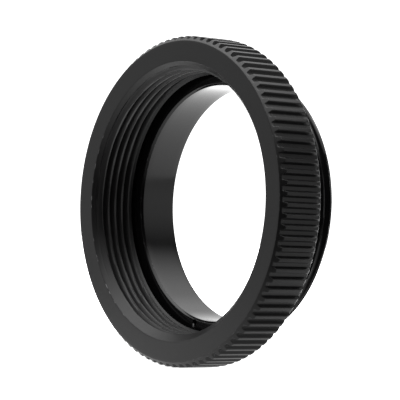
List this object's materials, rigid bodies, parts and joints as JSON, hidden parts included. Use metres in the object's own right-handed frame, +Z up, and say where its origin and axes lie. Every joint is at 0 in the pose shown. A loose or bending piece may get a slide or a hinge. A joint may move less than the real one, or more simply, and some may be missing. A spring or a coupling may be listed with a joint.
{
  "type": "threaded lens coupling ring",
  "caption": "Short open coupling ring with a female lens thread in a knurled turning ring and a male camera thread on its barrel.",
  "frame": {"origin": "on the optical axis, in the plane where the barrel seats on the camera", "axes": "+Y along the optical axis, out of the camera thread; the lens screws in from -Y; +Z up"},
  "size_m": [0.0308, 0.0088, 0.0308],
  "materials": {
    "barrel_anodised": "matte black anodised, turned",
    "ring_anodised": "matte black anodised, turned and knurled",
    "keeper_anodised": "matte black anodised",
    "washer_bronze": "bare rolled bronze strip"
  },
  "bodies": {
    "barrel": {"nose_barrel": "barrel_anodised"},
    "ring": {"knurled_ring": "ring_anodised", "retaining_ring": "keeper_anodised", "friction_washer": "washer_bronze"}
  },
  "joints": [
    {"name": "ring_turn", "type": "hinge", "parent": "barrel", "child": "ring", "pos_m": [0, -0.0025, 0], "axis": [0, 1, 0], "continuous": true}
  ]
}
